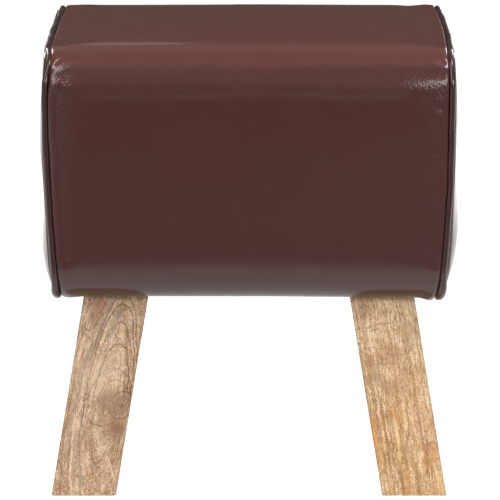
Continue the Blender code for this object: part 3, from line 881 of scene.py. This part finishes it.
def makeStaples(steel):
    low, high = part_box("dust_cover")
    extents = [np.abs(legExtent(node)) for node in legNodes]
    reachX, reachY = (min(min(leg[k:k + 2]) for leg in extents) - staple["legClear"] for k in (0, 2))
    points = []
    for sign in (-1, 1):
        x, y = sign * (high.x - staple["inset"]), sign * (high.y - staple["inset"])
        points += [(-reachX, y, low.z), (reachX, y, low.z), (x, -reachY, low.z), (x, reachY, low.z)]
    obj = makeObject("staples", points, [], [(k, k + 1) for k in range(0, len(points), 2)])
    tree, sizes = stapleTree(steel)
    row = obj.modifiers.new("stapleRow", "NODES")
    row.node_group = tree
    for label, identifier in sizes.items():
        row[identifier] = staple[label]
    settle(obj)
    return obj


clothSheet, clothArea, clothCut = makeDustCloth()
stapleZinc = zincFinish("stapleZinc")
staples = makeStaples(stapleZinc)
print("dust cloth and staples:", len(clothSheet.data.polygons), len(staples.data.polygons), "faces")


# legs: hardwood with growth rings, knots, veins and stains; places are across and up each leg in millimetres

wood = dict(
    roughness=(0.40, 0.60), specular=0.25, relief=0.00016, reliefStrength=0.8, streakRelief=0.5,
    poreRelief=0.6, splaySide=math.tan(math.radians(9.54)), splayFront=math.tan(math.radians(8.53)),
    halfThick=20.0, middle=100, depthDrift=0.3,  # deeper in, the figure shifts, so other faces differ
    waver=6.0, waverUp=1.2, waverPores=0.3, calm=(3, 18, 0.35, 1.0), weights=(2.4, 1.3, 1.5, 2.8),
    warmSpan=(0.47, 0.64), poreSpan=(0.55, 0.66), flecks=0.6, lineSpacing=2.1, lineDrift=(9.0, 2.0),
    lineHues=(0.40, 0.58, 1, 0.2), growthWidth=0.60, growthStrength=0.65, line=(0.13, 0.062, 0.030),
    lineWidth=1.0, ringHeights=(0, 230), ringFade=16, breaks=(0.30, 2), breakSpan=(0.22, 0.50),
    smear=1.6, stainEdge=(2.3, 1.2), wideBreaks=(0.68, 0.42), fineBreaks=(0.25, 0.45),
)
# noise over the leg: lean across it, squeeze up it, scale, detail and roughness
woodNoise = dict(
    waver=(0, 0.6, 0.09, 4, 0.62), streaks=(0.15, 0.022, 0.30, 4, 0.7), mottle=(0, 0.35, 0.10, 3, 0.6),
    fibres=(0.25, 0.07, 1.2, 2, 0.9), grit=(0, 0.50, 1.3, 2, 0.9), flecks=(0, 0.22, 0.9, 1, 0.8),
    hues=(0, 0.45, 0.17, 3, 0.65), smear=(0, 0.3, 0.40, 4, 0.7),
)
brown, russet, amber = (0.26, 0.15, 0.09), (0.36, 0.16, 0.09), (0.62, 0.26, 0.045)
greyed, mossy, straw = (0.31, 0.23, 0.17), (0.29, 0.25, 0.17), (0.80, 0.58, 0.26)
pith, honey = (0.10, 0.05, 0.03), (0.80, 0.62, 0.42)
rust, ember = (0.34, 0.10, 0.03), (0.70, 0.22, 0.03)
# dark to pale: the wood's own colours; growth: the oval that the grain runs round, or None for straight grain
# rings: centre, reach across and up, strength, and from and to height if they are cut short
# veins: from, to, bow, width, colour, strength; stains: place, reach across and up, colour, strength
# light is the wood's base tone; rise is how much lighter it is painted per millimetre up the leg, painted
# light that evens out the block's shadow on the upper legs and the brighter light near the floor
legFigures = {
    "leg_front_left": dict(
        seed=3.1, dark=(0.26, 0.138, 0.060), tan=(0.50, 0.330, 0.208), pale=(0.76, 0.575, 0.405), light=0.55,
        rise=0.0012, warm=(0.40, 0.235, 0.125), warmth=0.30, fleck=(0.20, 0.098, 0.042),
        growth=(7.5, 92, 22, 97),
        rings=((7.5, 92, 25, 105, 0.45, 100, 230), (7.5, 92, 22, 97, 0.85, 60, 230),
               (8, 92, 19.5, 79, 0.45, 110, 230), (9.3, 92, 16.5, 58, 0.85, 96, 230),
               (9, 92, 21, 34.5, 0.80, 86, 230), (13, 92, 15, 22.5, 0.65, 80, 230),
               (6, 92, 20, 23, 0.75, 0, 86), (7, 84, 11.5, 52, 0.65, 0, 58), (8, 90, 25, 84, 0.40, 0, 70),
               (22.5, 89.5, 11.5, 13.5, 0.85), (22.5, 89.5, 6.9, 8.1, 0.75), (22.5, 89.5, 4.4, 5.2, 0.75),
               (22.5, 89.5, 2.2, 2.8, 0.8)),
        veins=((-29, 170, -18.6, 163.5, -2, 0.9, brown, 0.9), (-18.6, 163.5, -7.8, 181, 1.5, 0.9, brown, 0.9),
               (-7.8, 181, -2, 190, 0, 0.8, brown, 0.6), (-5, 198, -12, 160, 1, 4.5, greyed, 0.65),
               (-12, 160, -22, 124, 1, 4.5, greyed, 0.75), (-22, 124, -23, 84, 1, 3.5, greyed, 0.6),
               (4, 184, -2, 154, 1, 3.6, mossy, 0.8), (-29, 168, -24.5, 150, -1, 0.8, brown, 0.75),
               (-24.5, 150, -30, 127, -1.5, 0.8, brown, 0.7), (-25, 158, -29, 128, 0, 3.0, honey, 0.7),
               (-16, 90, -14, 30, 1, 1.6, greyed, 0.6), (-24, 92, -26, 12, 0, 2.2, greyed, 0.55),
               (-30, 82, -28, 20, 0, 1.4, brown, 0.5), (-18, 60, -13, 4, 1, 1.6, greyed, 0.55),
               (-8, 84, -7, 36, -1, 1.2, brown, 0.45), (15, 52, 29, 66, 2, 0.8, brown, 0.6),
               (7, 80, 15, 73, 1, 2.0, russet, 0.8), (29, 165, 27, 120, 1, 0.8, brown, 0.5),
               (2, 30, 16, 2, 1, 0.9, brown, 0.4), (16, 40, 27, 14, 1, 1.0, honey, 0.5)),
        stains=((20, 88, 11, 13, (0.33, 0.21, 0.125), 0.55), (21, 66, 8, 7, (0.22, 0.105, 0.06), 0.80),
                (4, 92, 6, 11, brown, 0.65), (12, 101, 9, 5, brown, 0.45), (-17, 188, 9, 9, russet, 0.50),
                (-18, 174, 7, 8, brown, 0.50), (22.5, 89.5, 1.0, 2.0, pith, 0.95),
                (17, 89, 7, 10, brown, 0.35), (-6, 14, 3, 5, mossy, 0.65), (13, 71, 10, 3, brown, 0.45),
                (24, 56, 5, 3, brown, 0.5),
                (-4, 122, 24, 22, (0.74, 0.55, 0.38), 0.35), (0, 64, 25, 17, (0.36, 0.23, 0.14), 0.25))),
    "leg_front_right": dict(
        seed=8.4, dark=(0.32, 0.165, 0.058), tan=(0.59, 0.390, 0.225), pale=(0.86, 0.655, 0.430), light=0.54,
        rise=0.0020, warm=(0.50, 0.275, 0.105), warmth=0.5, fleck=(0.23, 0.110, 0.040), growth=None,
        rings=((-60, 20, 93, 651, 0.35), (-60, 20, 79, 553, 0.35)),
        veins=((-25, 164.5, 16, 172, 1.2, 1.1, brown, 0.60), (-27, 160.5, -6, 165, 0.5, 0.8, brown, 0.45),
               (-25, 146, -14, 146, 0.4, 0.9, brown, 0.45), (-25, 128, -2, 131, 0.6, 1.0, brown, 0.50),
               (-28, 201, -27, 162, 0.5, 2.2, brown, 0.65), (-17.5, 71, -6, 9, -2, 0.8, brown, 0.9),
               (8, 84, -1, 40, 2, 0.8, brown, 0.75), (14, 49, 31, 54, -1, 2.6, russet, 0.9),
               (20, 46, 17, 20, 0.6, 1.7, rust, 0.85), (28, 50, 26.5, 33, 0.5, 2.4, amber, 0.85),
               (14.5, 46, 12, 26, 0.5, 1.6, straw, 0.7), (26, 34, 30, 2, 0.5, 4.0, straw, 0.6),
               (-29, 78, -27, 28, 1, 2.4, amber, 0.75), (-30, 66, -29, 54, 0, 2.0, ember, 0.8),
               (-1, 30, -6, 2, 0.6, 2.6, amber, 0.8), (4, 30, 1, 12, 0.3, 1.2, russet, 0.55),
               (-5, 74, -8, 34, 0.5, 3.0, straw, 0.55), (5, 100, 3, 60, 0.5, 2.0, straw, 0.45),
               (30, 196, 28.5, 128, 0, 1.4, brown, 0.55), (-5, 196, -7, 172, 0.4, 0.9, brown, 0.6),
               (12, 182, 12, 150, 0.4, 0.9, brown, 0.5), (13, 150, 13, 96, 0.6, 0.8, brown, 0.5),
               (27, 125, 29, 62, -0.6, 1.2, brown, 0.45), (-10, 110, -13, 74, 0.5, 1.0, brown, 0.45)),
        stains=((3, 142, 8, 7, russet, 0.55), (-4, 132, 9, 6, russet, 0.35), (-20, 132, 6, 6, russet, 0.45),
                (-17, 117, 8, 9, brown, 0.40), (-2, 106, 10, 7, russet, 0.45), (23, 47, 9, 5, russet, 0.6),
                (6, 122, 9, 12, russet, 0.30), (24, 122, 7, 8, russet, 0.4), (-20, 184, 5, 13, brown, 0.5),
                (22, 160, 6, 22, brown, 0.25), (-3, 82, 7, 9, amber, 0.25), (18, 76, 5, 12, russet, 0.3))),
    "leg_back_left": dict(
        seed=12.7, dark=(0.27, 0.150, 0.075), tan=(0.54, 0.360, 0.215), pale=(0.80, 0.610, 0.410), light=0.54,
        rise=0.0008, warm=(0.44, 0.250, 0.115), warmth=0.4, fleck=(0.21, 0.110, 0.055),
        growth=(-10, 150, 20, 120),
        rings=((-10, 150, 20, 120, 0.7, 20, 230), (-10, 150, 16, 96, 0.6, 20, 230),
               (-10, 150, 11, 68, 0.7, 20, 230), (-10, 150, 7, 40, 0.6, 20, 230)),
        veins=((18, 90, 14, 20, 1, 1.4, amber, 0.6), (-22, 80, -18, 10, 1, 1.2, brown, 0.5),
               (24, 190, 22, 110, 1, 1.2, greyed, 0.5), (-27, 120, -25, 20, 1, 2.4, greyed, 0.5)),
        stains=((15, 50, 5, 16, russet, 0.4), (-12, 60, 8, 20, brown, 0.3), (10, 120, 7, 12, russet, 0.3))),
    "leg_back_right": dict(
        seed=17.3, dark=(0.28, 0.155, 0.075), tan=(0.56, 0.375, 0.220), pale=(0.83, 0.630, 0.420), light=0.54,
        rise=0.0008, warm=(0.47, 0.265, 0.110), warmth=0.45, fleck=(0.21, 0.110, 0.055), growth=None,
        rings=((50, 60, 67, 450, 0.5), (50, 60, 56, 375, 0.5), (-14, 120, 9, 11, 0.7),
               (-14, 120, 5.5, 7, 0.7), (-14, 120, 2.6, 3.4, 0.7)),
        veins=((-10, 60, -13, 12, 1, 1.8, amber, 0.6), (8, 190, 10, 80, 1, 1.0, brown, 0.5),
               (20, 160, 22, 40, 1, 2.0, greyed, 0.4)),
        stains=((-14, 120, 1.2, 2, pith, 0.9), (-12, 106, 8, 6, russet, 0.5), (12, 150, 7, 14, brown, 0.3))),
}


def legSpace(tree, node):
    # across, up and through the leg in millimetres, with its splay taken out
    top = legTop(node)
    centreX, centreY, height = (sum(p[k] for p in top) / len(top) for k in range(3))
    x, y, z = splitVector(stretch(objectPoint(tree), (1000, 1000, 1000)))

    def upright(place, centre, splay):
        lean = math.copysign(splay, centre)
        return z * lean + (place - 1000 * (centre + lean * height))

    return upright(x, centreX, wood["splaySide"]), z, upright(y, centreY, wood["splayFront"])


def ellipse(u, v, cu, cv, ru, rv):
    # 0 at a place and 1 at its reach, and how fast it grows with each millimetre
    du, dv = (u - cu) * (1 / ru), (v - cv) * (1 / rv)
    slopeU, slopeV = du * (1 / ru), dv * (1 / rv)
    away, slope = ((a * a + b * b).math("SQRT") for a, b in ((du, dv), (slopeU, slopeV)))
    return away, slope / away


def vein(u, v, start, end, bow, width):
    # 1 along a bowed line, 0 beyond its width and ends
    du, dv = end[0] - start[0], end[1] - start[1]
    size = math.hypot(du, dv)
    fromU, fromV = u - start[0], v - start[1]
    along = fromU * (du / size ** 2) + fromV * (dv / size ** 2)
    aside = fromU * (-dv / size) + fromV * (du / size)
    aside = abs(along * (along - 1.0) * (4 * bow) + aside)
    return span(aside, width, 0.25 * width) * span(abs(along - 0.5), 0.55, 0.40)


def woodFinish(node, figure):
    mat, tree, shader = newMaterial(node.title().replace("_", "") + "Wood", specular=wood["specular"])
    across, up, through = legSpace(tree, node)
    depth = through * (1 if "front" in node else -1) + wood["halfThick"]
    seeded = depth + 100 * figure["seed"]

    def grown(key, x, beside=None):
        lean, squeeze, *grade = woodNoise[key]
        along = beside * lean + up * squeeze if beside else up * squeeze
        return noise(joinVector(x, along, seeded), *grade)

    waver = (grown("waver", across) - 0.5) * wood["waver"]
    plain = depth * wood["depthDrift"] + across
    u, v = plain + waver, waver * wood["waverUp"] + up
    grain, slope, calm = u, 1.0, 1.0
    if figure["growth"]:
        away, slope = ellipse(u, v, *figure["growth"])
        grain, slope = (value * figure["growth"][2] for value in (away, slope))
        calm = span(abs(u - figure["growth"][0]), *wood["calm"])
    streaks, fibres = (grown(key, grain, u) for key in ("streaks", "fibres"))
    mottle, grit, hues, smear = (grown(key, u) for key in ("mottle", "grit", "hues", "smear"))
    # the ground from dark to pale, painted lighter up the leg, with warmer clouds and dark pores
    layers = zip((streaks, mottle, fibres, grit), wood["weights"])
    swings = [(layer - 0.5) * weight for layer, weight in layers]
    swings[0] = swings[0] * calm
    # painted light: the tone rises up the leg, lighter under the block where its shadow falls and darker
    # towards the floor
    tone = sum(swings, (up - wood["middle"]) * figure["rise"] + figure["light"])
    colour = tint(span(tone, 0, 0.5), figure["dark"], figure["tan"])
    colour = tint(span(tone, 0.5, 1), colour, figure["pale"])
    colour = tint(span(hues, *wood["warmSpan"]) * figure["warmth"], colour, figure["warm"])
    pores = span(grown("flecks", waver * wood["waverPores"] + plain), *wood["poreSpan"])
    colour = tint(pores * wood["flecks"], colour, figure["fleck"])
    # thin growth lines, spaced unevenly and broken
    breaks = span(noise(joinVector(u, v, seeded), *wood["breaks"]), *wood["breakSpan"])
    drift = mottle * wood["lineDrift"][0] + streaks * wood["lineDrift"][1] + grain
    aside = drift.math("PINGPONG", wood["lineSpacing"]) / slope
    near = span(aside, wood["growthWidth"], 0.1 * wood["growthWidth"]) * span(hues, *wood["lineHues"])
    colour = tint(near * breaks * wood["growthStrength"], colour, figure["fleck"])
    for cu, cv, ru, rv, strength, *heights in figure["rings"]:
        low, high = heights or wood["ringHeights"]
        away, slope = ellipse(u, v, cu, cv, ru, rv)
        near = span(abs(away - 1.0) / slope, wood["lineWidth"], 0.25 * wood["lineWidth"])
        near = near * span(v, low, low + wood["ringFade"]) * span(v, high, high - wood["ringFade"])
        colour = tint(near * breaks * strength, colour, wood["line"])
    for su, sv, ru, rv, stain, strength in figure["stains"]:
        away, _ = ellipse(u, v, su, sv, ru, rv)
        near = span(smear * wood["smear"] + away, *wood["stainEdge"])
        colour = tint(near * strength, colour, stain)
    for u0, v0, u1, v1, bow, width, stain, strength in figure["veins"]:
        broken = span(smear, *wood["wideBreaks" if width > 1 else "fineBreaks"])
        near = vein(u, v, (u0, v0), (u1, v1), bow, width) * broken
        colour = tint(near * strength, colour, stain)
    height = streaks * wood["streakRelief"] - pores * wood["poreRelief"]
    plug(shader, {"Base Color": colour, "Roughness": span(streaks, *noiseSpan, *wood["roughness"]),
                  "Normal": relief(height, wood["relief"], wood["reliefStrength"])})
    return mat


for legNode, legFigure in legFigures.items():
    paint(nodes[legNode].data, woodFinish(legNode, legFigure))
print("leg wood:", len(legFigures))


# plywood boards and screws inside the block

ply = dict(pale=(0.66, 0.50, 0.32), dark=(0.48, 0.33, 0.18), grain=(26, 4, 0.65, 0.6), relief=0.0002,
           reliefStrength=0.6, stretch={"x": (9, 2, 9), "y": (2, 9, 9), "z": (2, 9, 9)}, veneer=0.0026,
           plySpan=(0.48, 0.52), plyShade=0.45, edgeSpan=(0.3, 0.7))


def plywoodFinish(name, axis):
    # face veneer with grain, and the plies where the board's edge is cut
    mat, tree, shader = newMaterial(name, 0.65, 0.3)
    point, index = objectPoint(tree), "xyz".index(axis)
    grain = noise(stretch(point, ply["stretch"][axis]), *ply["grain"])
    plies = (splitVector(point)[index] / (2 * ply["veneer"])).math("FRACT")
    facing = abs(splitVector(addNode(tree, "ShaderNodeNewGeometry", output="Normal"))[index])
    edge = span(facing, *ply["edgeSpan"], 1.0, 0.0)
    colour = tint(span(grain, *noiseSpan), ply["dark"], ply["pale"])
    colour = tint(edge * span(plies, *ply["plySpan"]) * ply["plyShade"], colour, ply["dark"])
    plug(shader, {"Base Color": colour, "Normal": relief(grain, ply["relief"], ply["reliefStrength"])})
    return mat


boardPly = {axis: plywoodFinish(f"boardPlywood{axis.upper()}", axis) for axis in "xyz"}
screwZinc = zincFinish("screwZinc")
for node in nodes:
    if "_board" in node:
        axis = "z" if node in ("base_board", "seat_board") else "x" if node.startswith("end") else "y"
        paint(nodes[node].data, boardPly[axis])
    elif "_screw_" in node:
        paint(nodes[node].data, screwZinc)
print("boards and screws painted")


# stage: floor, world, lights and camera

stage = dict(floorHalf=14.0, floorDrop=0.0004, albedo=0.45, shown=0.42, glow=0.82, lightAim=(0, 0, 0.3),
             worldBack=0.08, worldLow=0.34, worldFront=0.45, worldHigh=0.52,
             lowSpan=(0, 0.3), frontSpan=(0.2, -0.6), highSpan=(0.25, 0.9))
# a dark cloth lying in front of the bench keeps its front from mirroring the white floor
flag = dict(left=-1.5, right=2.4, near=-0.27, far=-6.0, height=0.002, grey=0.26, farGrey=0.40,
            farFade=(1.0, 4.0), pale=1.0, fadeLeft=(0.3, 0.9), fadeNear=0.45)
studioLights = {  # azimuth round from the front, elevation, distance, width, height, watts
    "stripLeft": (-40, 42, 2.25, 0.42, 2.20, 34),
    "softboxRight": (72, 60, 2.3, 0.55, 0.70, 25),
    "kicker": (28, 18, 2.2, 0.7, 0.5, 22),
    "rimStrip": (-166, 32, 1.7, 0.5, 0.08, 0.11),
    "backLeft": (-140, 25, 2.3, 0.7, 0.6, 16),
    "backRight": (140, 25, 2.3, 0.7, 0.6, 16),
}
view = dict(lens=215.87, sensor=36, elevation=14.72, distance=3.0438, aim=(0.001, 0, 0.2159), clipEnd=100)


def makeFlat(name, left, right, near, far, height):
    corners = ((left, far), (right, far), (right, near), (left, near))
    return makeObject(name, [(x, y, height) for x, y in corners], [(0, 1, 2, 3)])


def lightPath(tree, kind):
    return addNode(tree, "ShaderNodeLightPath", output=f"Is {kind} Ray")


def makeFloor():
    half = stage["floorHalf"]
    obj = makeFlat("studioFloor", -half, half, half, -half, -stage["floorDrop"])
    mat, tree, _ = newMaterial("studioFloor")
    tree.nodes.clear()
    bounce, shown = (addNode(tree, "ShaderNodeBsdfDiffuse", {"Color": (*grey(stage[key]), 1)})
                     for key in ("albedo", "shown"))
    both = addNode(tree, "ShaderNodeAddShader", (
        shown, addNode(tree, "ShaderNodeEmission", {"Strength": stage["glow"]})))
    camera, glossy, clear = (lightPath(tree, kind) for kind in ("Camera", "Glossy", "Transmission"))
    seen = camera.math("MAXIMUM", glossy.math("MAXIMUM", clear))
    chosen = addNode(tree, "ShaderNodeMixShader", (seen, bounce, both))
    feed(chosen, tree.nodes.new("ShaderNodeOutputMaterial").inputs[0])
    obj.data.materials.append(mat)


def makeFlag():
    obj = makeFlat("frontFlag", *(flag[key] for key in ("left", "right", "near", "far", "height")))
    mat, tree, shader = newMaterial("flagCloth", 0.9, 0.1)
    x, y, _ = splitVector(objectPoint(tree))
    near = flag["near"]
    inX = span(x, *(flag["left"] + fade for fade in flag["fadeLeft"]))
    inY = span(y, near, near - flag["fadeNear"])
    out = span(y, *(near - fade for fade in flag["farFade"]))
    dark = tint(out, grey(flag["grey"]), grey(flag["farGrey"]))
    # its pale near edge is only for mirror reflections, so it throws no light up the legs
    covered = (inX * inY).math("MAXIMUM", lightPath(tree, "Diffuse"))
    plug(shader, {"Base Color": tint(covered, grey(flag["pale"]), dark)})
    obj.data.materials.append(mat)
    obj.visible_camera = obj.visible_shadow = False


def makeWorld():
    world = bpy.data.worlds.new("studioWorld")
    scene.world = world
    world.use_nodes = True
    tree = world.node_tree
    _, back, up = splitVector(addNode(tree, "ShaderNodeTexCoord", output="Generated"))
    behind, low, ahead, high = (grey(stage["world" + key]) for key in ("Back", "Low", "Front", "High"))
    ahead = tint(span(up, *stage["lowSpan"]), low, ahead)
    walls = tint(span(back, *stage["frontSpan"]), behind, ahead)
    plug(tree.nodes["Background"], {"Color": tint(span(up, *stage["highSpan"]), walls, high)})


def aim(obj, target, azimuth, elevation, distance):
    turn, lift = math.radians(azimuth), math.radians(elevation)
    back = Vector((math.sin(turn) * math.cos(lift), -math.cos(turn) * math.cos(lift), math.sin(lift)))
    obj.location = Vector(target) + distance * back
    obj.rotation_euler = (-back).to_track_quat("-Z", "Y").to_euler()


def addAreaLight(name, azimuth, elevation, distance, width, height, watts):
    lamp = bpy.data.lights.new(name, "AREA")
    lamp.shape = "RECTANGLE"
    lamp.size, lamp.size_y, lamp.energy = width, height, watts
    obj = addObject(name, lamp)
    obj.visible_camera = False
    aim(obj, stage["lightAim"], azimuth, elevation, distance)


def makeCamera():
    lens = bpy.data.cameras.new("photoCamera")
    lens.lens, lens.sensor_width, lens.clip_end = view["lens"], view["sensor"], view["clipEnd"]
    camera = addObject("photoCamera", lens)
    aim(camera, view["aim"], 0, view["elevation"], view["distance"])
    scene.camera = camera


makeFloor()
makeFlag()
makeWorld()
for lightName, lightPlace in studioLights.items():
    addAreaLight(lightName, *lightPlace)
makeCamera()
scene.view_settings.view_transform = "Standard"
print("stage set")


# what each piece stands for and rides on

def enter(obj, slot, *stands):
    if stands:
        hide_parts(*stands)
    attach(obj, "root")


enter(coverHide, "leather", "cover_wrap")
for hand, _ in ends:
    enter(endPanels[hand], "leather", f"end_panel_{hand}")
    enter(welts[hand], "leather", f"piping_{hand}")
    enter(cords[hand], "cotton_cord", f"piping_cord_{hand}")
for node, obj in foams.items():
    enter(obj, "foam", node)
enter(clothSheet, "dust_cloth", "dust_cover")
enter(staples, "zinc_steel")

print("pieces entered")
